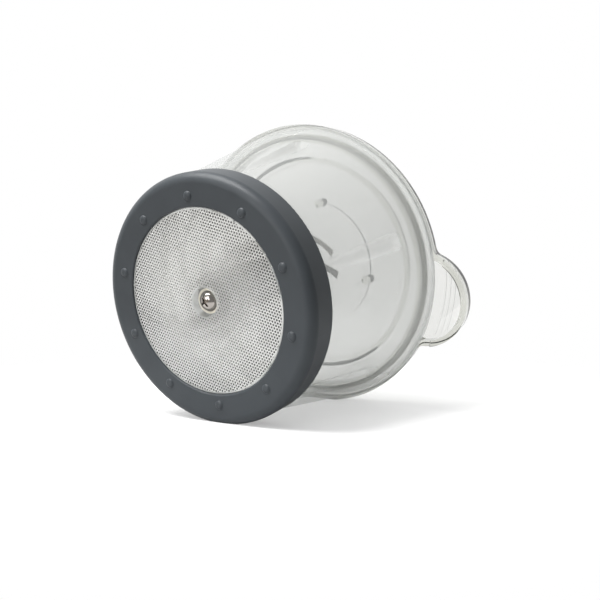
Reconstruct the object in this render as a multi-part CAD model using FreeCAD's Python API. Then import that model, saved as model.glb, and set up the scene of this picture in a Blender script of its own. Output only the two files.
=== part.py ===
import FreeCAD, Part
import math
import os

# Work bowl of a hand food chopper, standing upright on its non-slip ring.
# Millimetres, +Z up along the bowl's axis, +X towards the lid's thumb tab.
# The origin is on the axis, in the plane that the ring's pips stand on.
# The middle of the bowl's floor fills the ring's bore, almost flush with its face.

V = FreeCAD.Vector
UP = V(0, 0, 1)

# Turn of the bowl and its ring against the lid, in degrees
base_turn = 2.0

# Non-slip ring
pip_count = 10
pip_circle_radius = 47.3
pip_radius = 2.2
pip_height = 0.8
pip_crown_radius = 0.8
ring_bore_radius = 42.3
ring_side = 3.3
ring_tread = 3.2
ring_height = 15.6
ring_nose = 4.4
ring_lip = 0.8

# Bowl
foot_radius = 54.0
foot_corner = 3.0
shoulder_step = 2.4
mouth_radius = 69.6
bowl_wall = 3.0
floor_thickness = 3.5
middle_recess = 0.6
middle_gap = 0.3
middle_round = 0.3
middle_step_round = 1.0
floor_corner = 7.0
ledge_rise = 79.6
ledge_reach = 2.0
ledge_thickness = 2.2
neck_height = 4.2
neck_wall = 2.7
rim_round = 0.6
flute_count = 6
flute_radius = 4.2
flute_depth = 3.6
flute_top = 45.6
boss_radius = 13.0
boss_rise = 3.0
counterbore_radius = 6.7
counterbore_depth = 3.6

# Pivot, held from below by one screw
screw_radius = 2.5
screw_length = 16.0
screw_head_radius = 4.85
screw_head_height = 2.9
recess_width = 1.0
recess_span = 4.6
recess_depth = 1.7
screw_washer_radius = 5.8
screw_washer_thickness = 0.7
gasket_thickness = 0.8
post_flange_radius = 11.0
post_flange_thickness = 1.6
post_radius = 4.0
post_length = 46.0
post_tip_round = 1.0
thread_runout = 2.0
thrust_washer_radius = 8.0
thrust_washer_thickness = 0.8

# Blade carrier
collar_radius = 11.5
collar_height = 4.0
shaft_radius = 8.0
shaft_flat = 6.9
shaft_neck_radius = 7.2
shaft_neck_height = 26.0
bush_wall = 1.2
bush_length = 9.0
bush_inset = 0.5
post_headroom = 1.0
blade_thickness = 1.2
blade_plate_radius = 12.5
plate_margin = 0.5
blade_bevel = 1.8
blade_edge = 0.25
wing_root_inset = 2.5
wing_root_angle = 42.0
back_reach = 0.68
back_turn = 0.44
cut_reach = 0.52
cut_turn = 0.42
tip_width = 1.2
tip_lead_angle = 3.5
spacer_radius = 10.6
spacer_height = 14.2
nut_radius = 11.0
nut_height = 5.0
nut_notches = 6
nut_notch_radius = 1.6
lower_tip_radius = 53.5
lower_tip_angle = -24.7
lower_sweep_angle = 42.0
lower_bend_angle = 30.0
lower_far_tip_radius = 48.5
lower_far_bend_angle = 0.0
upper_tip_radius = 48.0
upper_tip_angle = -34.7
upper_sweep_angle = 74.0
upper_bend_angle = 14.0
upper_far_tip_radius = 47.0
upper_far_bend_angle = 16.0

# Drive cap on top of the blade carrier
cap_radius = 9.2
cap_socket_depth = 7.0
cap_web = 2.5
drive_bore_radius = 4.5
drive_bore_depth = 12.0
keyway_width = 2.4
keyway_depth = 1.6
cap_rib_count = 8
cap_rib_radius = 0.7
cap_rib_inset = 2.0
cap_round = 0.8

# Lid
lid_thickness = 2.2
skirt_wall = 1.6
skirt_draft = 0.9
tab_inset = 4.3
tab_radius = 22.5
tab_skirt_wall = 2.0
tab_drop = 1.2
tab_drop_offset = 8.2
tab_neck_fillet = 5.0
lid_top_round = 0.7
plateau_inset = 11.5
plateau_rise = 4.1
plateau_flank = 1.5
centre_radius = 32.3
centre_dip = 0.8
peg_count = 4
peg_radius = 2.2
peg_length = 5.6
plug_clearance = 1.9
plug_wall = 2.0
plug_length = 6.0
seal_groove_depth = 0.8
seal_height = 2.4
seal_offset = 1.8
tab_rib_offset = 8.7
tab_rib_pitch = 2.4
tab_rib_count = 3
tab_rib_width = 0.8
tab_rib_height = 0.25
tab_rib_margin = 3.5

# Fits
seat_clearance = 0.05
screw_clearance = 0.25
running_clearance = 0.05
lid_clearance = 0.3

# Heights that follow from the sizes above
z_ring_face = pip_height
z_floor = z_ring_face + ring_tread
z_ring_top = z_ring_face + ring_height
z_floor_top = z_floor + floor_thickness
z_boss_top = z_floor_top + boss_rise
z_middle = z_ring_face + middle_recess
z_middle_top = z_middle + floor_thickness
z_counterbore = z_middle + counterbore_depth
z_ledge = z_floor + ledge_rise
z_ledge_top = z_ledge + ledge_thickness
z_rim = z_ledge_top + neck_height
z_lid_top = z_rim + lid_thickness
z_flange = z_boss_top + gasket_thickness
z_flange_top = z_flange + post_flange_thickness
z_carrier = z_flange_top + thrust_washer_thickness
z_collar_top = z_carrier + collar_height
z_spacer = z_collar_top + blade_thickness
z_upper_blade = z_spacer + spacer_height
z_nut = z_upper_blade + blade_thickness
z_nut_top = z_nut + nut_height
z_shaft_top = z_nut_top + shaft_neck_height
z_post_top = z_flange_top + post_length
middle_radius = ring_bore_radius - middle_gap
shoulder_radius = foot_radius + shoulder_step
flare = (mouth_radius - shoulder_radius) / (z_ledge - z_ring_top)
plug_radius = mouth_radius - neck_wall - plug_clearance
plateau_radius = plug_radius - plateau_inset
tab_centre = mouth_radius - tab_inset
tab_start = tab_centre + tab_drop_offset
tab_rib_first = tab_centre + tab_rib_offset
bush_outer_radius = post_radius + running_clearance + bush_wall


def wall_radius(z):
    """Outer radius of the bowl's tapered wall at height z."""
    return shoulder_radius + flare * (z - z_ring_top)


def polar(radius, degrees, z=0.0):
    turn = math.radians(degrees)
    return V(radius * math.cos(turn), radius * math.sin(turn), z)


def turned(points):
    """Solid of revolution about the Z axis from (radius, height) points."""
    corners = [V(r, 0, z) for r, z in points]
    outline = Part.makePolygon(corners + [corners[0]])
    return Part.Face(outline).revolve(V(0, 0, 0), UP, 360)


def cylinder(radius, height, z, x=0.0, y=0.0):
    return Part.makeCylinder(radius, height, V(x, y, z))


def tube(outer, inner, height, z):
    return cylinder(outer, height, z).cut(cylinder(inner, height, z))


def around(shape, count, start=0.0):
    """Copies of a shape, evenly spaced about the Z axis."""
    copies = []
    for i in range(count):
        copy = shape.copy()
        copy.rotate(V(0, 0, 0), UP, start + 360.0 * i / count)
        copies.append(copy)
    return copies


def circle_edges(shape, radius, z):
    """The circular edges about the Z axis with this radius and height."""
    found = []
    for edge in shape.Edges:
        box = edge.BoundBox
        level = box.ZLength < 0.001 and abs(box.ZMin - z) < 0.001
        if level and abs(box.XLength - 2 * radius) < 0.01 and abs(box.Center.x) < 0.01:
            found.append(edge)
    return found


def rounded(shape, size, radius, z):
    return shape.makeFillet(size, circle_edges(shape, radius, z))


def one_solid(shape):
    """The joined shape without seams, as a plain solid."""
    clean = shape.removeSplitter()
    if len(clean.Solids) == 1:
        return clean.Solids[0]
    return clean


def make_pip():
    """A low dome with a small flat crown, hanging under the ring."""
    crown = pip_crown_radius
    width = pip_radius - crown
    bend = (width ** 2 + pip_height ** 2) / (2 * pip_height)
    half = math.asin(width / bend) / 2
    middle = V(crown + bend * math.sin(half), 0, bend * (1 - math.cos(half)))
    side = Part.Arc(V(crown, 0, 0), middle, V(pip_radius, 0, pip_height)).toShape()
    base = Part.makePolygon([V(pip_radius, 0, pip_height), V(0, 0, pip_height), V(0, 0, 0), V(crown, 0, 0)])
    body = Part.Face(Part.Wire([side] + base.Edges)).revolve(V(0, 0, 0), UP, 360)
    body.translate(V(pip_circle_radius, 0, 0))
    return body


def make_ring():
    """Rubber channel that hugs the bowl's foot, with its pips."""
    outer = foot_radius + seat_clearance + ring_side
    ring = cylinder(outer, ring_height, z_ring_face)
    ring = rounded(ring, ring_nose, outer, z_ring_face)
    ring = rounded(ring, ring_lip, outer, z_ring_top)
    seat = cylinder(foot_radius + seat_clearance, ring_height, z_floor)
    seat = rounded(seat, foot_corner, foot_radius + seat_clearance, z_floor)
    ring = ring.cut(seat)
    ring = ring.cut(cylinder(ring_bore_radius, ring_height, 0))
    ring = rounded(ring, ring_lip, ring_bore_radius, z_ring_face)
    return one_solid(ring.fuse(around(make_pip(), pip_count, base_turn)))


def flute_bar(radius):
    """Round bar with a ball end that presses one flute into the wall."""
    z_end = z_ring_top + flute_top
    foot = V(wall_radius(z_ring_top) + flute_radius, 0, z_ring_top)
    end = V(wall_radius(z_end) - flute_depth + flute_radius, 0, z_end)
    run = end - foot
    start = foot - run * 0.5
    bar = Part.makeCylinder(radius, (end - start).Length, start, run)
    return bar.fuse(Part.makeSphere(radius, end))


def make_bowl():
    """Tapered, fluted bowl with a stepped rim, a central boss and an open mouth."""
    ledge_radius = mouth_radius + ledge_reach
    neck_bore = mouth_radius - neck_wall
    outer = turned([
        (0, z_middle), (middle_radius, z_middle), (middle_radius, z_floor),
        (foot_radius, z_floor), (foot_radius, z_ring_top),
        (shoulder_radius, z_ring_top), (mouth_radius, z_ledge),
        (ledge_radius, z_ledge), (ledge_radius, z_ledge_top),
        (mouth_radius, z_ledge_top), (mouth_radius, z_rim), (0, z_rim)])
    outer = rounded(outer, middle_round, middle_radius, z_middle)
    outer = rounded(outer, foot_corner, foot_radius, z_floor)
    outer = rounded(outer, rim_round, ledge_radius, z_ledge)
    first_flute = base_turn + 180.0 / flute_count
    outer = outer.cut(around(flute_bar(flute_radius), flute_count, first_flute))
    inner_base = foot_radius - bowl_wall
    inner_middle = middle_radius - bowl_wall
    cavity = turned([
        (0, z_middle_top), (inner_middle, z_middle_top), (inner_middle, z_floor_top),
        (inner_base, z_floor_top),
        (wall_radius(z_ring_top) - bowl_wall, z_ring_top),
        (neck_bore, z_ledge_top), (neck_bore, z_rim), (0, z_rim)])
    cavity = rounded(cavity, middle_step_round, inner_middle, z_middle_top)
    cavity = rounded(cavity, floor_corner, inner_base, z_floor_top)
    ribs = around(flute_bar(flute_radius + bowl_wall), flute_count, first_flute)
    cavity = cavity.cut(ribs)
    cavity = cavity.cut(cylinder(boss_radius, z_boss_top - z_middle_top, z_middle_top))
    bowl = outer.cut(cavity)
    bowl = bowl.cut(cylinder(counterbore_radius, counterbore_depth, z_middle))
    bowl = bowl.cut(cylinder(screw_radius + screw_clearance, z_boss_top, 0))
    bowl = rounded(bowl, rim_round, mouth_radius, z_rim)
    bowl = rounded(bowl, rim_round, neck_bore, z_rim)
    return one_solid(bowl)


def make_screw():
    """Dome-head screw, head down, with a cross recess."""
    seat = z_counterbore - screw_washer_thickness
    dome_radius = (screw_head_radius ** 2 + screw_head_height ** 2) / (2 * screw_head_height)
    dome = Part.makeSphere(dome_radius, V(0, 0, seat - screw_head_height + dome_radius))
    head = dome.common(cylinder(screw_head_radius, screw_head_height, seat - screw_head_height))
    shank = cylinder(screw_radius, screw_length, seat)
    shank = rounded(shank, screw_radius * 0.25, screw_radius, seat + screw_length)
    screw = head.fuse(shank)
    slot = Part.makeBox(recess_span, recess_width, recess_depth, V(-recess_span / 2, -recess_width / 2, 0))
    slot.translate(V(0, 0, seat - screw_head_height))
    for turn in (45, 135):
        arm = slot.copy()
        arm.rotate(V(0, 0, 0), UP, turn)
        screw = screw.cut(arm)
    return one_solid(screw)


def make_screw_washer():
    inner = screw_radius + screw_clearance
    return tube(screw_washer_radius, inner, screw_washer_thickness, z_counterbore - screw_washer_thickness)


def make_post_gasket():
    return tube(post_flange_radius, screw_radius + screw_clearance, gasket_thickness, z_boss_top)


def make_post():
    """Flanged steel pivot, tapped from below for the screw."""
    post = cylinder(post_flange_radius, post_flange_thickness, z_flange)
    post = rounded(post, post_flange_thickness * 0.4, post_flange_radius, z_flange_top)
    post = post.fuse(cylinder(post_radius, post_flange_thickness + post_length, z_flange))
    post = one_solid(post)
    post = rounded(post, post_tip_round, post_radius, z_post_top)
    screw_end = z_counterbore - screw_washer_thickness + screw_length
    tapped = cylinder(screw_radius + seat_clearance, screw_end + thread_runout - z_flange, z_flange)
    return post.cut(tapped)


def make_thrust_washer():
    inner = post_radius + running_clearance
    return tube(thrust_washer_radius, inner, thrust_washer_thickness, z_flange_top)


def flatted(radius, flat, height, z):
    """Round bar with two flats, at plus and minus flat in Y."""
    bar = cylinder(radius, height, z)
    size = 4 * radius
    keep = Part.makeBox(size, 2 * flat, height, V(-size / 2, -flat, z))
    return bar.common(keep)


def make_carrier():
    """Blade carrier: collar, flatted seat for the blades and a tapering neck."""
    collar = cylinder(collar_radius, collar_height, z_carrier)
    collar = rounded(collar, collar_height * 0.4, collar_radius, z_carrier)
    seat = flatted(shaft_radius, shaft_flat, z_nut_top - z_collar_top, z_collar_top)
    neck = cylinder(shaft_neck_radius, shaft_neck_height, z_nut_top)
    body = collar.fuse([seat, neck])
    bore = cylinder(bush_outer_radius + seat_clearance, z_post_top + post_headroom - z_carrier, z_carrier)
    return one_solid(body.cut(bore))


def make_bush(z):
    return tube(bush_outer_radius, post_radius + running_clearance, bush_length, z)


def wing(tip_radius, sweep, bend):
    """One hooked wing, its root on the blade plate and its tip at angle zero."""
    root = blade_plate_radius - wing_root_inset
    back_start = polar(root, -sweep - wing_root_angle)
    back_middle = polar(tip_radius * back_reach, -sweep * back_turn)
    tip_back = polar(tip_radius, 0)
    tip_cut = polar(tip_radius - tip_width, tip_lead_angle)
    cut_middle = polar(tip_radius * cut_reach, -sweep * cut_turn)
    cut_end = polar(root, -sweep + wing_root_angle)
    back = Part.Arc(back_start, back_middle, tip_back).toShape()
    end = Part.LineSegment(tip_back, tip_cut).toShape()
    cutting = Part.Arc(tip_cut, cut_middle, cut_end).toShape()
    close = Part.LineSegment(cut_end, back_start).toShape()
    blade = Part.Face(Part.Wire([back, end, cutting, close])).extrude(V(0, 0, blade_thickness))
    lifted = V(0, 0, blade_thickness)
    upper = [e for e in blade.Edges if e.BoundBox.ZMin > blade_thickness - 0.001]
    edge = min(upper, key=lambda e: e.distToShape(Part.Vertex(cut_middle + lifted))[0])
    blade = blade.makeChamfer(blade_thickness - blade_edge, blade_bevel, [edge])
    hinge = polar(blade_plate_radius - wing_root_inset / 2, -sweep / 2, blade_thickness / 2)
    blade.rotate(hinge, polar(1, -sweep / 2 + 90), -bend)
    seat = blade_plate_radius - plate_margin
    below = cylinder(seat, tip_radius, -tip_radius)
    above = cylinder(seat, tip_radius, blade_thickness)
    return blade.cut(below).cut(above)


def make_blade(z, near, far, tip_angle, sweep):
    """Flat plate with a flatted hole and two opposite wings."""
    plate = cylinder(blade_plate_radius, blade_thickness, 0)
    wings = []
    for (tip_radius, bend), turn in ((near, 0), (far, 180)):
        one = wing(tip_radius, sweep, bend)
        one.rotate(V(0, 0, 0), UP, tip_angle + turn)
        wings.append(one)
    blade = plate.fuse(wings)
    hole = flatted(shaft_radius + seat_clearance, shaft_flat + seat_clearance, blade_thickness, 0)
    blade = one_solid(blade.cut(hole))
    blade.translate(V(0, 0, z))
    return blade


def make_spacer():
    spacer = cylinder(spacer_radius, spacer_height, z_spacer)
    hole = flatted(shaft_radius + seat_clearance, shaft_flat + seat_clearance, spacer_height, z_spacer)
    return spacer.cut(hole)


def make_nut():
    """Ring nut that clamps the blades, with spanner notches."""
    nut = cylinder(nut_radius, nut_height, z_nut)
    nut = rounded(nut, nut_height * 0.2, nut_radius, z_nut_top)
    nut = nut.cut(cylinder(shaft_radius + seat_clearance, nut_height, z_nut))
    notch = cylinder(nut_notch_radius, nut_height, z_nut, nut_radius)
    return nut.cut(around(notch, nut_notches))


def make_cap():
    """Ribbed cap with the keyed bore that the plunger drives."""
    z_base = z_shaft_top - cap_socket_depth
    z_web = z_shaft_top
    z_bore = z_web + cap_web
    z_top = z_bore + drive_bore_depth
    cap = cylinder(cap_radius, z_top - z_base, z_base)
    cap = rounded(cap, cap_round, cap_radius, z_top)
    cap = cap.cut(cylinder(shaft_neck_radius + seat_clearance, cap_socket_depth, z_base))
    cap = cap.cut(cylinder(drive_bore_radius, drive_bore_depth, z_bore))
    span = 2 * (drive_bore_radius + keyway_depth)
    key = Part.makeBox(span, keyway_width, drive_bore_depth, V(-span / 2, -keyway_width / 2, z_bore))
    cap = cap.cut(key)
    rib = cylinder(cap_rib_radius, z_top - z_base - 2 * cap_rib_inset, z_base + cap_rib_inset, cap_radius)
    return one_solid(cap.fuse(around(rib, cap_rib_count, 180.0 / cap_rib_count)))


def neck_edges(shape):
    """The two inside corners between the round lid and its tab."""
    found = []
    for edge in shape.Edges:
        a = edge.valueAt(edge.FirstParameter)
        b = edge.valueAt(edge.LastParameter)
        steep = abs(a.z - b.z) > 1.0
        if steep and a.x > tab_centre * 0.5 and abs(a.y) > 1.0:
            found.append(edge)
    return found


def lid_block(rim, z_low, z_high):
    """Drafted disc joined to the thumb tab's round end by filleted corners."""
    height = z_high - z_low
    disc = Part.makeCone(rim + skirt_draft, rim, height, V(0, 0, z_low))
    end = Part.makeCone(tab_radius + skirt_draft, tab_radius, height, V(tab_centre, 0, z_low))
    block = one_solid(disc.fuse(end))
    return block.makeFillet(tab_neck_fillet, neck_edges(block))


def make_lid():
    """Clear lid: skirt over the rim, hollow thumb tab, raised centre and plug."""
    rim_inner = mouth_radius + lid_clearance
    rim_outer = rim_inner + skirt_wall - skirt_draft
    body = lid_block(rim_outer, z_ledge_top, z_lid_top)
    low = z_ledge_top - tab_drop
    drop = cylinder(tab_radius + skirt_draft, tab_drop, low, tab_centre)
    ahead = Part.makeBox(tab_radius * 2, tab_radius * 4, tab_drop, V(tab_start, -tab_radius * 2, low))
    body = body.fuse(drop.common(ahead))
    top_edges = []
    for edge in body.Edges:
        heights = [vertex.Point.z for vertex in edge.Vertexes]
        if heights and min(heights) > z_lid_top - 0.001 and max(heights) < z_lid_top + 0.001:
            top_edges.append(edge)
    body = body.makeFillet(lid_top_round, top_edges)
    hollow = cylinder(rim_inner, z_rim - low, low)
    hollow_tab = cylinder(tab_radius - tab_skirt_wall, z_rim - low, low, tab_centre)
    body = body.cut(hollow).cut(hollow_tab)
    z_top = z_lid_top + plateau_rise
    dip = z_top - centre_dip
    foot = plateau_radius + plateau_flank
    raised = turned([(0, z_rim), (foot, z_rim), (foot, z_lid_top), (plateau_radius, z_top),
                     (centre_radius, z_top), (centre_radius, dip), (0, dip)])
    under = turned([(0, low), (foot - lid_thickness, low), (foot - lid_thickness, z_rim),
                    (plateau_radius - lid_thickness, z_top - lid_thickness),
                    (centre_radius, z_top - lid_thickness), (centre_radius, dip - lid_thickness),
                    (0, dip - lid_thickness)])
    body = body.fuse(raised)
    plug = tube(plug_radius, plug_radius - plug_wall, plug_length, z_rim - plug_length)
    z_groove = z_rim - seal_offset - seal_height
    groove = tube(rim_inner, plug_radius - seal_groove_depth, seal_height, z_groove)
    body = body.fuse(plug.cut(groove))
    body = body.cut(under)
    peg = cylinder(peg_radius, peg_length + centre_dip, z_top - lid_thickness - peg_length, centre_radius)
    body = body.fuse(around(peg, peg_count))
    reach = tab_radius - tab_rib_margin
    field = cylinder(reach, tab_rib_height * 2, z_lid_top - tab_rib_height, tab_centre)
    for i in range(tab_rib_count):
        inner = tab_rib_first + i * tab_rib_pitch
        rib = tube(inner + tab_rib_width, inner, tab_rib_height * 2, z_lid_top - tab_rib_height)
        body = body.fuse(rib.common(field))
    return one_solid(body)


def make_lid_seal():
    """Silicone ring in the plug's groove, just clear of the bowl's mouth."""
    inner = plug_radius - seal_groove_depth
    outer = mouth_radius - neck_wall - lid_clearance
    seal = tube(outer, inner, seal_height, z_rim - seal_offset - seal_height)
    seal = rounded(seal, seal_height * 0.25, outer, z_rim - seal_offset)
    return rounded(seal, seal_height * 0.25, outer, z_rim - seal_offset - seal_height)


def main():
    upper_bush_z = z_post_top - post_tip_round - bush_length
    pieces = {
        "bowl": make_bowl(),
        "non_slip_ring": make_ring(),
        "pivot_screw": make_screw(),
        "screw_washer": make_screw_washer(),
        "post_gasket": make_post_gasket(),
        "pivot_post": make_post(),
        "thrust_washer": make_thrust_washer(),
        "blade_carrier": make_carrier(),
        "lower_bush": make_bush(z_carrier + bush_inset),
        "upper_bush": make_bush(upper_bush_z),
        "lower_blade": make_blade(
            z_collar_top, (lower_tip_radius, lower_bend_angle), (lower_far_tip_radius, lower_far_bend_angle),
            lower_tip_angle, lower_sweep_angle),
        "blade_spacer": make_spacer(),
        "upper_blade": make_blade(
            z_upper_blade, (upper_tip_radius, upper_bend_angle), (upper_far_tip_radius, upper_far_bend_angle),
            upper_tip_angle, upper_sweep_angle),
        "blade_nut": make_nut(),
        "drive_cap": make_cap(),
        "lid": make_lid(),
        "lid_seal": make_lid_seal(),
    }
    os.makedirs("parts", exist_ok=True)
    for name, shape in pieces.items():
        if not shape.isValid() or shape.Volume <= 0:
            raise ValueError(name + " isn't a sound solid")
        print(name, len(shape.Solids), "solid,", round(shape.Volume / 1000, 2), "cm3,",
              [round(v, 1) for v in (shape.BoundBox.XMin, shape.BoundBox.XMax, shape.BoundBox.YMin,
                                     shape.BoundBox.YMax, shape.BoundBox.ZMin, shape.BoundBox.ZMax)])
        shape.exportStep("parts/" + name + ".step")


main()
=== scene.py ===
import bmesh
import bpy
import math
from bpy.props import FloatProperty, FloatVectorProperty, IntProperty, PointerProperty
from mathutils import Matrix, Vector


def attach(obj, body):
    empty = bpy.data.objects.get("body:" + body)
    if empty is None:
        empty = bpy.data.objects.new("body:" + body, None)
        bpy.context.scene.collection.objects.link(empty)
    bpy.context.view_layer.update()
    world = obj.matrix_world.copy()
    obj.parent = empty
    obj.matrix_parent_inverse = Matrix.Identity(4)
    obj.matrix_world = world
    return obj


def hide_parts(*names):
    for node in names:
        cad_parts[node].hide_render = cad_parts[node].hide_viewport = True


bl_info = {
    "name": "Food Chopper Bowl",
    "version": (1, 0, 0),
    "blender": (4, 5, 0),
    "location": "View3D > Sidebar > Chopper",
    "description": "Clear fluted work bowl, lid, blades and stage of a hand food chopper",
    "category": "Object",
}

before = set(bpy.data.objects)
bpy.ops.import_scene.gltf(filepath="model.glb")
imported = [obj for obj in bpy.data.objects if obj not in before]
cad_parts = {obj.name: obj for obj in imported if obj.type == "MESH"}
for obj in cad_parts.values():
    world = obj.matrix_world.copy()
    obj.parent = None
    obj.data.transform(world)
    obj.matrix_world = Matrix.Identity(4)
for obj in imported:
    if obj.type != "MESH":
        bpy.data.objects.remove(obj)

SMOOTH_ANGLE = math.radians(35)
KNURL_ANGLE = math.radians(25)  # keeps the pits' edges crisp
MIDDLE = Vector((0, 0, 0.045))  # about the middle of the object
AIM = Vector((0, 0, -0.42))  # about the same place in the camera's own directions

WHITE = (1, 1, 1, 1)
PLASTIC_IOR = 1.5
SHADOW_TINT = (0.86, 0.87, 0.87, 1)  # light that the clear pieces let through to their shadows
BODY_TINT = (0.80, 0.805, 0.765, 1)  # colour of the clear pieces where they are thick
SURFACE_FADE = (0.12, 0.26)  # distances at which the white surface starts and ends fading
SURFACE_LIFT = 0.385  # glow of the white surface that only the camera sees

# Fillets of the bowl's profile
CRISP = 0.0002
EDGE = 0.0003
BOSS_FILLET = 0.0004
INNER_EDGE = 0.0005
RIM_FILLET = 0.0006
INNER_CORNER = 0.001
FOOT_FILLET = 0.003
INNER_FOOT_FILLET = 0.0065

# Brightness of the world, from straight ahead of the camera at 0 to behind it at 1
AHEAD, BEHIND = (0.36, 1.0), (0.88, 0.34)
BETWEEN = ((0.43, 0.12), (0.51, 0.12), (0.56, 0.95), (0.70, 0.72))

# Cards: direction in the camera's own axes, cosines where they begin and where they are full, colour
DARK_CARD = ((0.80, 0.35, 0.45), 0.82, 0.95, (0.10, 0.10, 0.10, 1))
TAN_CARD = ((-0.85, -0.42, 0.32), 0.86, 0.95, (0.34, 0.25, 0.16, 1))


class BowlSettings(bpy.types.PropertyGroup):
    """Sizes of the clear bowl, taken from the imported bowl"""
    foot_radius: FloatProperty(name="Foot radius", description="Radius of the foot inside the ring",
                               default=0.054, unit="LENGTH")
    shoulder_radius: FloatProperty(name="Shoulder radius", description="Wall radius just above the ring",
                                   default=0.0564, unit="LENGTH")
    mouth_radius: FloatProperty(name="Mouth radius", description="Wall radius under the rim ledge",
                                default=0.0696, unit="LENGTH")
    wall: FloatProperty(name="Wall", description="Wall thickness", default=0.003, unit="LENGTH")
    ledge_reach: FloatProperty(name="Ledge reach",
                               description="How far the rim ledge stands out, a hair inside the packed one",
                               default=0.00199, unit="LENGTH")
    neck_bore: FloatProperty(name="Neck bore", description="Inner radius of the mouth",
                             default=0.0669, unit="LENGTH")
    floor: FloatProperty(name="Underside", description="Height of the floor's underside",
                         default=0.004, unit="LENGTH")
    floor_top: FloatProperty(name="Floor top", description="Height of the floor's upper face",
                             default=0.0075, unit="LENGTH")
    boss_radius: FloatProperty(name="Boss radius", description="Radius of the central boss",
                               default=0.013, unit="LENGTH")
    boss_top: FloatProperty(name="Boss top", description="Height of the central boss",
                            default=0.0105, unit="LENGTH")
    middle_radius: FloatProperty(name="Middle radius",
                                 description="Radius of the floor's middle, inside the ring",
                                 default=0.042, unit="LENGTH")
    middle: FloatProperty(name="Middle", description="Height of the middle's underside",
                          default=0.0014, unit="LENGTH")
    middle_top: FloatProperty(name="Middle top", description="Height of the middle's upper face",
                              default=0.0049, unit="LENGTH")
    counterbore: FloatProperty(name="Counterbore", description="Height of the counterbore's seat",
                               default=0.005, unit="LENGTH")
    seat_radius: FloatProperty(name="Seat radius", description="Radius of the counterbore",
                               default=0.0067, unit="LENGTH")
    screw_bore: FloatProperty(name="Screw bore", description="Radius of the hole for the screw",
                              default=0.00275, unit="LENGTH")
    ring_top: FloatProperty(name="Ring top", description="Height of the shoulder step",
                            default=0.0164, unit="LENGTH")
    ledge: FloatProperty(name="Ledge", description="Height of the rim ledge",
                         default=0.0836, unit="LENGTH")
    ledge_top: FloatProperty(name="Ledge top", description="Height of the ledge's top",
                             default=0.0858, unit="LENGTH")
    rim: FloatProperty(name="Rim", description="Height of the mouth", default=0.09, unit="LENGTH")
    flute_count: IntProperty(name="Flutes", description="Number of flutes round the wall", default=6)
    flute_radius: FloatProperty(name="Flute radius", description="Radius of one flute",
                                default=0.0042, unit="LENGTH")
    flute_depth: FloatProperty(name="Flute depth", description="Depth at the flute's upper end",
                               default=0.0036, unit="LENGTH")
    flute_top: FloatProperty(name="Flute top", description="Height of the flute's ball end",
                             default=0.062, unit="LENGTH")
    turn: FloatProperty(name="Turn", description="Turn of the bowl against the lid",
                        default=math.radians(2), unit="ROTATION")
    steps: IntProperty(name="Steps", description="Steps round the axis", default=400)
    wall_runs: IntProperty(name="Wall runs", description="Steps up the wall", default=40)


class KnurlSettings(bpy.types.PropertyGroup):
    """Staggered pits under the bowl's floor"""
    pitch: FloatProperty(name="Pitch", description="Distance between pits in a row",
                         default=0.0014, unit="LENGTH")
    row: FloatProperty(name="Row", description="Distance between rows", default=0.00131, unit="LENGTH")
    depth: FloatProperty(name="Depth", description="Depth of the pits", default=0.0005, unit="LENGTH")
    skin: FloatProperty(name="Skin", description="Depth of the ridges between pits",
                        default=0.00005, unit="LENGTH")
    outer: FloatProperty(name="Outer radius", description="Edge of the pattern",
                         default=0.0413, unit="LENGTH")
    inner: FloatProperty(name="Inner radius", description="Plain ring round the screw",
                         default=0.0074, unit="LENGTH")
    turn: FloatProperty(name="Turn", description="Direction of the rows",
                        default=math.radians(1.5), unit="ROTATION")
    disc_steps: IntProperty(name="Disc steps", description="Steps round the pattern's edge", default=256)


class StageSettings(bpy.types.PropertyGroup):
    """Camera, lamps and the surface that the bowl lies on"""
    place: FloatVectorProperty(name="Camera place", description="Camera position", size=3,
                               subtype="TRANSLATION",
                               default=(0.23649047, -0.14026203, -0.30573162))
    turn: FloatVectorProperty(name="Camera turn", description="Camera rotation", size=3, subtype="EULER",
                              default=tuple(map(math.radians, (164.60123, -33.28197, -7.10542))))
    lens: FloatProperty(name="Lens", description="Focal length in millimetres", default=55.8)
    floor_turn: FloatProperty(name="Floor side", description="Direction from the axis to the surface",
                              default=math.radians(76), unit="ROTATION")
    floor_size: FloatProperty(name="Floor size", description="Half the width of the surface",
                              default=0.6, unit="LENGTH")
    gap: FloatProperty(name="Gap", description="How far the surface stays below the object",
                       default=0.0002, unit="LENGTH")
    ring_reach: FloatProperty(name="Ring reach", description="Radius at which the ring touches",
                              default=0.05735, unit="LENGTH")
    ring_height: FloatProperty(name="Ring height", description="Height at which the ring touches",
                               default=0.010, unit="LENGTH")
    lid_reach: FloatProperty(name="Lid reach", description="Radius at which the lid touches",
                             default=0.0715, unit="LENGTH")
    lid_height: FloatProperty(name="Lid height", description="Height at which the lid touches",
                              default=0.0885, unit="LENGTH")


# Materials

def material(name):
    """New material and its main shader."""
    mat = bpy.data.materials.new(name)
    mat.use_nodes = True
    return mat, mat.node_tree.nodes["Principled BSDF"]


def link(mat, source, output, target, socket):
    """Link one node's output to another node's socket."""
    mat.node_tree.links.new(source.outputs[output], target.inputs[socket])


def noise(mat, scale, detail=4.0, stretch=None):
    """Noise texture on object coordinates, stretched along an axis if asked."""
    nodes = mat.node_tree.nodes
    coords = nodes.new("ShaderNodeTexCoord")
    texture = nodes.new("ShaderNodeTexNoise")
    texture.inputs["Scale"].default_value = scale
    texture.inputs["Detail"].default_value = detail
    if stretch:
        mapping = nodes.new("ShaderNodeMapping")
        mapping.inputs["Scale"].default_value = stretch
        link(mat, coords, "Object", mapping, "Vector")
        link(mat, mapping, "Vector", texture, "Vector")
    else:
        link(mat, coords, "Object", texture, "Vector")
    return texture


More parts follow.
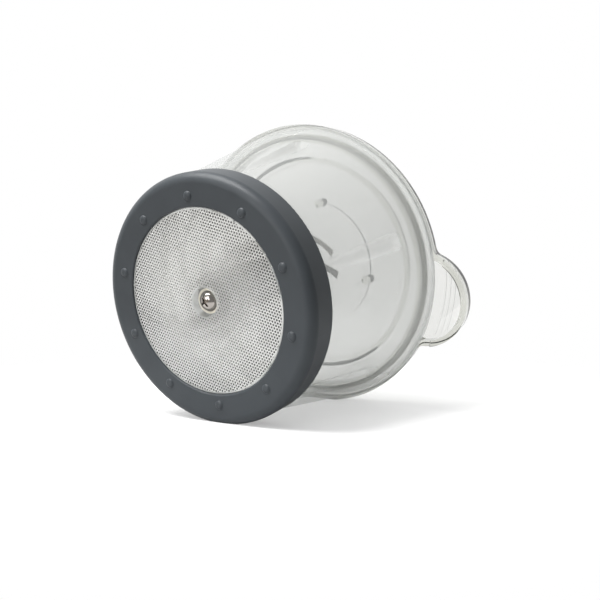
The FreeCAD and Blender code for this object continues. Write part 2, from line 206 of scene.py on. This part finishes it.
def spread(mat, texture, low, high, shader, socket):
    """Drive a value socket from a texture between two values."""
    ramp = mat.node_tree.nodes.new("ShaderNodeMapRange")
    ramp.inputs["To Min"].default_value = low
    ramp.inputs["To Max"].default_value = high
    link(mat, texture, "Fac", ramp, "Value")
    link(mat, ramp, "Result", shader, socket)


def tint(mat, texture, dark, light, shader):
    """Drive the base colour from a texture between two colours."""
    ramp = mat.node_tree.nodes.new("ShaderNodeValToRGB")
    ramp.color_ramp.elements[0].position = 0.3
    ramp.color_ramp.elements[0].color = (*dark, 1)
    ramp.color_ramp.elements[1].position = 0.7
    ramp.color_ramp.elements[1].color = (*light, 1)
    link(mat, texture, "Fac", ramp, "Fac")
    link(mat, ramp, "Color", shader, "Base Color")


def relief(mat, texture, shader, distance, strength=0.3):
    """Fine relief from a texture."""
    bump = mat.node_tree.nodes.new("ShaderNodeBump")
    bump.inputs["Strength"].default_value = strength
    bump.inputs["Distance"].default_value = distance
    link(mat, texture, "Fac", bump, "Height")
    link(mat, bump, "Normal", shader, "Normal")


def clear_plastic(name, dark, light, roughness, density):
    """Clear moulded plastic with a faint body colour, pale in shadows."""
    mat, shader = material(name)
    shader.inputs["Transmission Weight"].default_value = 1.0
    shader.inputs["IOR"].default_value = PLASTIC_IOR
    flow = noise(mat, 40.0, 2.0, (1.0, 1.0, 0.4))
    tint(mat, flow, dark, light, shader)
    spread(mat, noise(mat, 900.0, 3.0), roughness * 0.5, roughness * 1.5, shader, "Roughness")
    relief(mat, flow, shader, 0.0002, 0.04)
    nodes = mat.node_tree.nodes
    path = nodes.new("ShaderNodeLightPath")
    through = nodes.new("ShaderNodeBsdfTransparent")
    through.inputs["Color"].default_value = SHADOW_TINT
    mix = nodes.new("ShaderNodeMixShader")
    link(mat, path, "Is Shadow Ray", mix, "Fac")
    link(mat, shader, "BSDF", mix, 1)
    link(mat, through, "BSDF", mix, 2)
    link(mat, mix, "Shader", nodes["Material Output"], "Surface")
    body = nodes.new("ShaderNodeVolumeAbsorption")
    body.inputs["Color"].default_value = BODY_TINT
    body.inputs["Density"].default_value = density
    link(mat, body, "Volume", nodes["Material Output"], "Volume")
    return mat


def knurled_plastic(s, floor):
    """Silvery pattern under the floor with painted shade in its pits: base colour near white on the ridges
    and near black deep in the pits, darker toward the pattern's edge in blotches.
    """
    mat, shader = material("knurled_floor")
    nodes = mat.node_tree.nodes
    coords = nodes.new("ShaderNodeTexCoord")
    split = nodes.new("ShaderNodeSeparateXYZ")
    link(mat, coords, "Object", split, "Vector")
    pit_depth = nodes.new("ShaderNodeMapRange")
    pit_depth.inputs["From Min"].default_value = floor + s.skin
    pit_depth.inputs["From Max"].default_value = floor + s.depth
    link(mat, split, "Z", pit_depth, "Value")
    # Painted shade: the base colour darkens with the depth of the pits, from near white on the ridges to near
    # black at their bottoms.
    ramp = nodes.new("ShaderNodeValToRGB")
    ramp.color_ramp.elements[0].position = 0.15
    ramp.color_ramp.elements[0].color = (1.0, 1.0, 0.98, 1)
    ramp.color_ramp.elements[1].position = 0.6
    ramp.color_ramp.elements[1].color = (0.03, 0.03, 0.03, 1)
    # The painted pit shade gets stronger toward the pattern's edge, in blotches from a noise.
    reach = nodes.new("ShaderNodeVectorMath")
    reach.operation = "LENGTH"
    link(mat, coords, "Object", reach, 0)
    pit_shade_blotches = noise(mat, 45.0, 1.0)
    edge = nodes.new("ShaderNodeMapRange")
    edge.inputs["From Min"].default_value = 0.6 * s.outer
    edge.inputs["From Max"].default_value = s.outer
    link(mat, reach, "Value", edge, "Value")
    pit_shade_toward_edge = nodes.new("ShaderNodeMath")
    pit_shade_toward_edge.operation = "MULTIPLY_ADD"
    pit_shade_toward_edge.inputs[2].default_value = 0.72
    link(mat, edge, "Result", pit_shade_toward_edge, 0)
    link(mat, pit_shade_blotches, "Fac", pit_shade_toward_edge, 1)
    pit_shade = nodes.new("ShaderNodeMath")
    pit_shade.operation = "MULTIPLY"
    link(mat, pit_depth, "Result", pit_shade, 0)
    link(mat, pit_shade_toward_edge, "Value", pit_shade, 1)
    link(mat, pit_shade, "Value", ramp, "Fac")
    link(mat, ramp, "Color", shader, "Base Color")
    spread(mat, noise(mat, 900.0, 3.0), 0.10, 0.16, shader, "Roughness")
    shader.inputs["Transmission Weight"].default_value = 0.6
    shader.inputs["IOR"].default_value = PLASTIC_IOR
    return mat


def rubber():
    """Charcoal rubber with a fine grain."""
    mat, shader = material("ring_rubber")
    grain = noise(mat, 2500.0, 3.0)
    tint(mat, noise(mat, 60.0), (0.045, 0.051, 0.057), (0.051, 0.058, 0.064), shader)
    spread(mat, grain, 0.34, 0.44, shader, "Roughness")
    shader.inputs["Specular IOR Level"].default_value = 0.22
    relief(mat, grain, shader, 0.00003)
    return mat


def metal(name, colour, roughness, scale, stretch):
    """Steel or chrome with fine lines along one axis."""
    mat, shader = material(name)
    shader.inputs["Metallic"].default_value = 1.0
    lines = noise(mat, scale, 5.0, stretch)
    dull = tuple(v * 0.9 for v in colour)
    tint(mat, lines, dull, colour, shader)
    spread(mat, lines, roughness * 0.7, roughness * 1.4, shader, "Roughness")
    relief(mat, lines, shader, 0.00002, 0.15)
    return mat


def satin(name, dark, light, roughness):
    """Opaque moulded plastic or silicone with a fine grain."""
    mat, shader = material(name)
    tint(mat, noise(mat, 80.0), dark, light, shader)
    grain = noise(mat, 1800.0, 3.0)
    spread(mat, grain, roughness * 0.8, roughness * 1.2, shader, "Roughness")
    relief(mat, grain, shader, 0.00002, 0.2)
    return mat


def white_surface():
    """Matt white, lifted for the camera, that fades away from the object and can't be seen from behind."""
    mat, shader = material("white_surface")
    tint(mat, noise(mat, 30.0), (0.60, 0.60, 0.60), (0.62, 0.62, 0.62), shader)
    shader.inputs["Roughness"].default_value = 0.9
    shader.inputs["Specular IOR Level"].default_value = 0.0
    nodes = mat.node_tree.nodes
    coords = nodes.new("ShaderNodeTexCoord")
    distance = nodes.new("ShaderNodeVectorMath")
    distance.operation = "LENGTH"
    link(mat, coords, "Object", distance, 0)
    fade = nodes.new("ShaderNodeMapRange")
    fade.interpolation_type = "SMOOTHSTEP"
    fade.inputs["From Min"].default_value, fade.inputs["From Max"].default_value = SURFACE_FADE
    link(mat, distance, "Value", fade, "Value")
    geometry = nodes.new("ShaderNodeNewGeometry")
    either = nodes.new("ShaderNodeMath")
    either.operation = "MAXIMUM"
    link(mat, geometry, "Backfacing", either, 0)
    link(mat, fade, "Result", either, 1)
    path = nodes.new("ShaderNodeLightPath")
    lift = nodes.new("ShaderNodeMath")
    lift.operation = "MULTIPLY"
    lift.inputs[1].default_value = SURFACE_LIFT
    link(mat, path, "Is Camera Ray", lift, 0)
    link(mat, lift, "Value", shader, "Emission Strength")
    shader.inputs["Emission Color"].default_value = WHITE
    through = nodes.new("ShaderNodeBsdfTransparent")
    mix = nodes.new("ShaderNodeMixShader")
    link(mat, either, "Value", mix, "Fac")
    link(mat, shader, "BSDF", mix, 1)
    link(mat, through, "BSDF", mix, 2)
    link(mat, mix, "Shader", nodes["Material Output"], "Surface")
    return mat


def dress(mat, *nodes):
    """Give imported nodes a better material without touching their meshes."""
    for node in nodes:
        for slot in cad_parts[node].material_slots:
            slot.material = mat


# Shapes

def corner(before, point, after, radius, count=5):
    """Points round one filleted corner of a profile."""
    a = (Vector(before) - Vector(point)).normalized()
    b = (Vector(after) - Vector(point)).normalized()
    half = a.angle(b) / 2
    centre = Vector(point) + (a + b).normalized() * (radius / math.sin(half))
    start = Vector(point) + a * (radius / math.tan(half)) - centre
    end = Vector(point) + b * (radius / math.tan(half)) - centre
    return [centre + start.slerp(end, i / count) * radius for i in range(count + 1)]


def profile(bm, points):
    """Closed wire in the XZ plane from (radius, height, fillet, runs) points."""
    path = []
    for i, (r, z, fillet, runs) in enumerate(points):
        before, after = points[i - 1], points[(i + 1) % len(points)]
        if fillet:
            path += [(p, 1) for p in corner(before[:2], (r, z), after[:2], fillet)]
            path[-1] = (path[-1][0], runs)
        else:
            path.append((Vector((r, z)), runs))
    verts = []
    for i, (p, runs) in enumerate(path):
        q = path[(i + 1) % len(path)][0]
        for k in range(runs):
            at = p.lerp(q, k / runs)
            verts.append(bm.verts.new((at.x, 0, at.y)))
    for i, v in enumerate(verts):
        bm.edges.new((v, verts[(i + 1) % len(verts)]))


def evaluated(obj):
    """The object's mesh with its modifiers applied, as a bmesh; the object goes."""
    depsgraph = bpy.context.evaluated_depsgraph_get()
    bm = bmesh.new()
    bm.from_object(obj, depsgraph)
    mesh = obj.data
    bpy.data.objects.remove(obj)
    bpy.data.meshes.remove(mesh)
    return bm


def turned(points, steps):
    """Mesh turned about the Z axis from a closed profile."""
    bm = bmesh.new()
    profile(bm, points)
    wire = bpy.data.meshes.new("profile")
    bm.to_mesh(wire)
    bm.free()
    obj = bpy.data.objects.new("profile", wire)
    bpy.context.collection.objects.link(obj)
    screw = obj.modifiers.new("turn", "SCREW")
    screw.steps = screw.render_steps = steps
    screw.use_merge_vertices = True
    screw.merge_threshold = 0.000001
    bm = evaluated(obj)
    bmesh.ops.recalc_face_normals(bm, faces=bm.faces)
    return bm


def to_object(bm, name, mat):
    """Object at the origin from a bmesh, smooth but for its sharp edges."""
    mesh = bpy.data.meshes.new(name)
    bm.to_mesh(mesh)
    bm.free()
    mesh.materials.append(mat)
    mesh.shade_smooth()
    mesh.set_sharp_from_angle(angle=SMOOTH_ANGLE)
    obj = bpy.data.objects.new(name, mesh)
    bpy.context.collection.objects.link(obj)
    return obj


def boolean(obj, tool, operation):
    """Apply a boolean with another object and remove that object."""
    modifier = obj.modifiers.new("cut", "BOOLEAN")
    modifier.operation = operation
    modifier.solver = "MANIFOLD"
    modifier.object = tool
    depsgraph = bpy.context.evaluated_depsgraph_get()
    mesh = bpy.data.meshes.new_from_object(obj.evaluated_get(depsgraph))
    obj.modifiers.clear()
    old = obj.data
    name = old.name
    obj.data = mesh
    bpy.data.meshes.remove(old)
    mesh.name = name
    bpy.data.objects.remove(tool)


def press_flutes(bm, s):
    """Press the flutes into the outer wall and raise their ribs inside."""
    flare = (s.mouth_radius - s.shoulder_radius) / (s.ledge - s.ring_top)
    end_radius = s.shoulder_radius + flare * (s.flute_top - s.ring_top) - s.flute_depth + s.flute_radius
    foot_radius = s.shoulder_radius + s.flute_radius
    lean = (end_radius - foot_radius) / (s.flute_top - s.ring_top)
    pitch = math.tau / s.flute_count
    for v in bm.verts:
        z = v.co.z
        radius = math.hypot(v.co.x, v.co.y)
        outer_wall = s.shoulder_radius + flare * (z - s.ring_top)
        reach = s.flute_radius if radius > outer_wall - s.wall / 2 else s.flute_radius + s.wall
        if z < s.ring_top or z > s.flute_top + reach or radius > outer_wall + s.wall / 2:
            continue
        turn = math.atan2(v.co.y, v.co.x)
        off = (turn / pitch) % 1 - 0.5
        delta = off * pitch
        axis = foot_radius + lean * (min(z, s.flute_top) - s.ring_top)
        over = max(0.0, z - s.flute_top)
        bar = math.sqrt(max(0.0, reach ** 2 - over ** 2))
        side = axis * math.sin(delta)
        if abs(side) < bar:
            pressed = axis * math.cos(delta) - math.sqrt(bar ** 2 - side ** 2)
            if pressed < radius:
                v.co.x *= pressed / radius
                v.co.y *= pressed / radius


def gather(bm, count, amount):
    """Turn vertices about the axis so that more of them lie near the flutes."""
    for v in bm.verts:
        turn = math.atan2(v.co.y, v.co.x)
        shift = amount * math.sin(count * turn) / count
        radius = math.hypot(v.co.x, v.co.y)
        v.co.x = radius * math.cos(turn + shift)
        v.co.y = radius * math.sin(turn + shift)


def knurl_tool(s, floor, low):
    """Cutter whose upper face is a staggered field of six-sided peaks.

    It has two rows to spare on each side, and room for the rows' slant at both ends.
    """
    bm = bmesh.new()
    rows = 2 * math.ceil(s.outer / s.row) + 4
    cells = 2 * math.ceil(1.6 * s.outer / s.pitch)
    bmesh.ops.create_grid(bm, x_segments=cells, y_segments=rows, size=1)
    for v in bm.verts:
        v.co.y *= rows / 2 * s.row
        v.co.x = v.co.x * cells / 2 * s.pitch + v.co.y / s.row * s.pitch / 2
    bmesh.ops.triangulate(bm, faces=bm.faces[:], quad_method="SHORT_EDGE")
    for v in bm.verts:
        v.co.z = floor + s.depth
    ridges = bmesh.ops.subdivide_edges(bm, edges=bm.edges[:], cuts=1, use_grid_fill=True)["geom_inner"]
    for v in ridges:
        if isinstance(v, bmesh.types.BMVert):
            v.co.z = floor + s.skin
    rim = [e for e in bm.edges if e.is_boundary]
    skirt = bmesh.ops.extrude_edge_only(bm, edges=rim)["geom"]
    for v in skirt:
        if isinstance(v, bmesh.types.BMVert):
            v.co.z = low
    bmesh.ops.holes_fill(bm, edges=[e for e in bm.edges if e.is_boundary], sides=0)
    bmesh.ops.rotate(bm, verts=bm.verts, cent=(0, 0, 0), matrix=Matrix.Rotation(s.turn, 3, "Z"))
    bmesh.ops.recalc_face_normals(bm, faces=bm.faces)
    return bm


class CHOPPER_OT_bowl(bpy.types.Operator):
    """Build the clear fluted bowl with its knurled floor"""
    bl_idname = "chopper.bowl"
    bl_label = "Bowl"

    def execute(self, context):
        s = context.scene.chopper_bowl
        k = context.scene.chopper_knurl
        bm = turned(self.points(s), s.steps)
        bmesh.ops.rotate(bm, verts=bm.verts, cent=(0, 0, 0),
                         matrix=Matrix.Rotation(math.pi / s.flute_count, 3, "Z"))
        gather(bm, s.flute_count, amount=0.6)
        press_flutes(bm, s)
        bmesh.ops.rotate(bm, verts=bm.verts, cent=(0, 0, 0), matrix=Matrix.Rotation(s.turn, 3, "Z"))
        clear = bpy.data.materials["clear_bowl"]
        bowl = to_object(bm, "bowl_shell", clear)
        tool = to_object(knurl_tool(k, s.middle, 0.0), "knurl_tool", clear)
        low, high = s.middle - 0.001, s.middle + 0.001
        ring = [(k.inner, low, 0, 1), (k.outer, low, 0, 1), (k.outer, high, 0, 1), (k.inner, high, 0, 1)]
        boolean(tool, to_object(turned(ring, k.disc_steps), "knurl_disc", clear), "INTERSECT")
        boolean(bowl, tool, "DIFFERENCE")
        bowl.data.materials.append(bpy.data.materials["knurled_floor"])
        for face in bowl.data.polygons:
            inside = k.inner < face.center.xy.length < k.outer and face.center.z < s.middle + k.depth
            if inside and face.normal.z < 0:
                face.material_index = 1
        bowl.data.shade_smooth()
        bowl.data.set_sharp_from_angle(angle=KNURL_ANGLE)
        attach(bowl, "base")
        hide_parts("bowl")
        return {"FINISHED"}

    def points(self, s):
        """Profile as (radius, height, fillet, runs), out from the screw, up, over the rim and back inside."""
        ledge_radius = s.mouth_radius + s.ledge_reach
        inner_shoulder = s.shoulder_radius - s.wall
        inner_foot = s.foot_radius - s.wall
        inner_middle = s.middle_radius - s.wall
        return [
            (s.screw_bore, s.counterbore, 0, 1),
            (s.seat_radius, s.counterbore, 0, 1),
            (s.seat_radius, s.middle, CRISP, 12),
            (s.middle_radius, s.middle, EDGE, 1),
            (s.middle_radius, s.floor, 0, 2),
            (s.foot_radius, s.floor, FOOT_FILLET, 4),
            (s.foot_radius, s.ring_top, 0, 1),
            (s.shoulder_radius, s.ring_top, CRISP, s.wall_runs),
            (s.mouth_radius, s.ledge, CRISP, 1),
            (ledge_radius, s.ledge, RIM_FILLET, 1),
            (ledge_radius, s.ledge_top, EDGE, 1),
            (s.mouth_radius, s.ledge_top, CRISP, 2),
            (s.mouth_radius, s.rim, RIM_FILLET, 1),
            (s.neck_bore, s.rim, RIM_FILLET, 2),
            (s.neck_bore, s.ledge_top, INNER_EDGE, s.wall_runs),
            (inner_shoulder, s.ring_top, INNER_CORNER, 6),
            (inner_foot, s.floor_top, INNER_FOOT_FILLET, 2),
            (inner_middle, s.floor_top, INNER_EDGE, 1),
            (inner_middle, s.middle_top, INNER_CORNER, 10),
            (s.boss_radius, s.middle_top, BOSS_FILLET, 2),
            (s.boss_radius, s.boss_top, EDGE, 3),
            (s.screw_bore, s.boss_top, 0, 1)]


class CHOPPER_OT_finishes(bpy.types.Operator):
    """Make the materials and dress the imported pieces"""
    bl_idname = "chopper.finishes"
    bl_label = "Finishes"

    def execute(self, context):
        clear_plastic("clear_bowl", (0.99, 0.99, 0.985), (1.0, 1.0, 0.995), 0.004, 60.0)
        knurled_plastic(context.scene.chopper_knurl, context.scene.chopper_bowl.middle)
        lid = clear_plastic("clear_lid", (0.96, 0.96, 0.955), (0.97, 0.97, 0.965), 0.004, 220.0)
        steel = metal("blade_steel", (0.21, 0.20, 0.175), 0.18, 400.0, (1.0, 8.0, 1.0))
        chrome = metal("screw_chrome", (0.44, 0.41, 0.38), 0.06, 900.0, (1.0, 3.0, 1.0))
        post = metal("post_steel", (0.7, 0.7, 0.69), 0.25, 500.0, (1.0, 1.0, 6.0))
        grey = satin("carrier_plastic", (0.30, 0.31, 0.32), (0.36, 0.37, 0.38), 0.35)
        bearing = satin("bearing_plastic", (0.62, 0.60, 0.55), (0.70, 0.68, 0.62), 0.45)
        silicone = satin("clear_silicone", (0.72, 0.72, 0.70), (0.80, 0.80, 0.78), 0.3)
        seal = satin("seal_silicone", (0.30, 0.30, 0.26), (0.38, 0.38, 0.33), 0.3)
        ring = rubber()
        washer = satin("washer_cream", (0.70, 0.67, 0.58), (0.78, 0.75, 0.66), 0.25)
        dress(ring, "non_slip_ring")
        dress(chrome, "pivot_screw")
        dress(washer, "screw_washer")
        dress(post, "pivot_post")
        dress(silicone, "post_gasket")
        dress(seal, "lid_seal")
        dress(bearing, "thrust_washer", "lower_bush", "upper_bush")
        dress(grey, "blade_carrier", "blade_spacer", "blade_nut", "drive_cap")
        dress(steel, "lower_blade", "upper_blade")
        dress(lid, "lid")
        return {"FINISHED"}


class CHOPPER_OT_stage(bpy.types.Operator):
    """Set the camera, lamps, background and the surface underneath"""
    bl_idname = "chopper.stage"
    bl_label = "Stage"

    def execute(self, context):
        s = context.scene.chopper_stage
        scene = context.scene
        scene.view_settings.view_transform = "Standard"
        data = bpy.data.cameras.new("camera")
        data.lens = s.lens
        data.sensor_width = 36
        data.clip_start = 0.01
        camera = bpy.data.objects.new("camera", data)
        camera.location = s.place
        camera.rotation_euler = s.turn
        scene.collection.objects.link(camera)
        scene.camera = camera
        context.view_layer.update()
        clear = bpy.data.collections.new("clear")
        for piece in (bpy.data.objects["bowl_shell"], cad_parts["lid"]):
            clear.objects.link(piece)
        for entry in clear.collection_objects:
            entry.light_linking.link_state = "EXCLUDE"
        key = self.lamp(camera, "key", (-0.30, 0.55, -0.30), 0.45, 6.0)
        key.light_linking.receiver_collection = clear
        self.lamp(camera, "front", (-0.45, 0.1, 0.05), 0.4, 1.4)
        self.lamp(camera, "strip", (-0.20, 0.45, -0.20), 0.10, 0.8)
        self.world(scene, camera)
        self.surface(s)
        return {"FINISHED"}

    def lamp(self, camera, name, place, size, power):
        """Area lamp placed in the camera's own directions, aimed at the object."""
        data = bpy.data.lights.new(name, "AREA")
        data.size = size
        data.energy = power
        lamp = bpy.data.objects.new(name, data)
        lamp.location = camera.matrix_world @ Vector(place)
        aim = camera.matrix_world @ AIM - lamp.location
        lamp.rotation_euler = aim.to_track_quat("-Z", "Y").to_euler()
        bpy.context.scene.collection.objects.link(lamp)
        return lamp

    def world(self, scene, camera):
        """White for the camera; a ramp of greys and two cards for the reflections and the light."""
        world = bpy.data.worlds.new("studio")
        world.use_nodes = True
        scene.world = world
        nodes, links = world.node_tree.nodes, world.node_tree.links
        background = nodes["Background"]
        coords = nodes.new("ShaderNodeTexCoord")
        facing = nodes.new("ShaderNodeVectorMath")
        facing.operation = "DOT_PRODUCT"
        facing.inputs[1].default_value = (camera.location - MIDDLE).normalized()
        links.new(coords.outputs["Generated"], facing.inputs[0])
        level = nodes.new("ShaderNodeValToRGB")
        ramp = level.color_ramp.elements
        for element, (place, grey) in zip(ramp, (AHEAD, BEHIND)):
            element.position, element.color = place, (grey, grey, grey, 1)
        for place, grey in BETWEEN:
            ramp.new(place).color = (grey, grey, grey, 1)
        shifted = nodes.new("ShaderNodeMapRange")
        shifted.inputs["From Min"].default_value = -1.0
        links.new(facing.outputs["Value"], shifted.inputs["Value"])
        links.new(shifted.outputs["Result"], level.inputs["Fac"])
        path = nodes.new("ShaderNodeLightPath")
        mix = nodes.new("ShaderNodeMix")
        mix.data_type = "RGBA"
        links.new(path.outputs["Is Camera Ray"], mix.inputs["Factor"])
        turn = camera.matrix_world.to_3x3()
        shade = level.outputs["Color"]
        for place, low, high, colour in (DARK_CARD, TAN_CARD):
            aim = nodes.new("ShaderNodeVectorMath")
            aim.operation = "DOT_PRODUCT"
            aim.inputs[1].default_value = (turn @ Vector(place)).normalized()
            links.new(coords.outputs["Generated"], aim.inputs[0])
            card = nodes.new("ShaderNodeMapRange")
            card.interpolation_type = "SMOOTHSTEP"
            card.inputs["From Min"].default_value = low
            card.inputs["From Max"].default_value = high
            links.new(aim.outputs["Value"], card.inputs["Value"])
            blend = nodes.new("ShaderNodeMix")
            blend.data_type = "RGBA"
            blend.inputs["B"].default_value = colour
            links.new(card.outputs["Result"], blend.inputs["Factor"])
            links.new(shade, blend.inputs["A"])
            shade = blend.outputs["Result"]
        links.new(shade, mix.inputs["A"])
        mix.inputs["B"].default_value = WHITE
        links.new(mix.outputs["Result"], background.inputs["Color"])

    def surface(self, s):
        """White surface that touches the ring and the lid from one side."""
        bm = bmesh.new()
        bmesh.ops.create_grid(bm, x_segments=2, y_segments=2, size=s.floor_size)
        obj = to_object(bm, "surface", white_surface())
        radial = Vector((math.cos(s.floor_turn), math.sin(s.floor_turn), 0))
        low = radial * s.ring_reach + Vector((0, 0, s.ring_height))
        high = radial * s.lid_reach + Vector((0, 0, s.lid_height))
        along = (high - low).normalized()
        across = radial.cross(Vector((0, 0, 1)))
        normal = along.cross(across).normalized()
        if normal.dot(radial) > 0:
            normal = -normal
        obj.rotation_mode = "QUATERNION"
        obj.rotation_quaternion = normal.to_track_quat("Z", "Y")
        obj.location = (low + high) / 2 - normal * s.gap


class CHOPPER_PT_panel(bpy.types.Panel):
    """Buttons for each piece of the chopper bowl"""
    bl_idname = "CHOPPER_PT_panel"
    bl_label = "Food Chopper Bowl"
    bl_space_type = "VIEW_3D"
    bl_region_type = "UI"
    bl_category = "Chopper"

    def draw(self, context):
        for operator in OPERATORS:
            self.layout.operator(operator.bl_idname)


OPERATORS = (CHOPPER_OT_finishes, CHOPPER_OT_bowl, CHOPPER_OT_stage)
CLASSES = (BowlSettings, KnurlSettings, StageSettings) + OPERATORS + (CHOPPER_PT_panel,)


def register():
    """Register the classes and the scene's settings."""
    for cls in CLASSES:
        bpy.utils.register_class(cls)
    bpy.types.Scene.chopper_bowl = PointerProperty(type=BowlSettings)
    bpy.types.Scene.chopper_knurl = PointerProperty(type=KnurlSettings)
    bpy.types.Scene.chopper_stage = PointerProperty(type=StageSettings)


def unregister():
    """Undo what register did."""
    del bpy.types.Scene.chopper_stage
    del bpy.types.Scene.chopper_knurl
    del bpy.types.Scene.chopper_bowl
    for cls in reversed(CLASSES):
        bpy.utils.unregister_class(cls)


def main():
    """Build the whole scene."""
    register()
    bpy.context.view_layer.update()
    bpy.ops.chopper.finishes()
    bpy.ops.chopper.bowl()
    bpy.ops.chopper.stage()


if __name__ == "__main__":
    main()
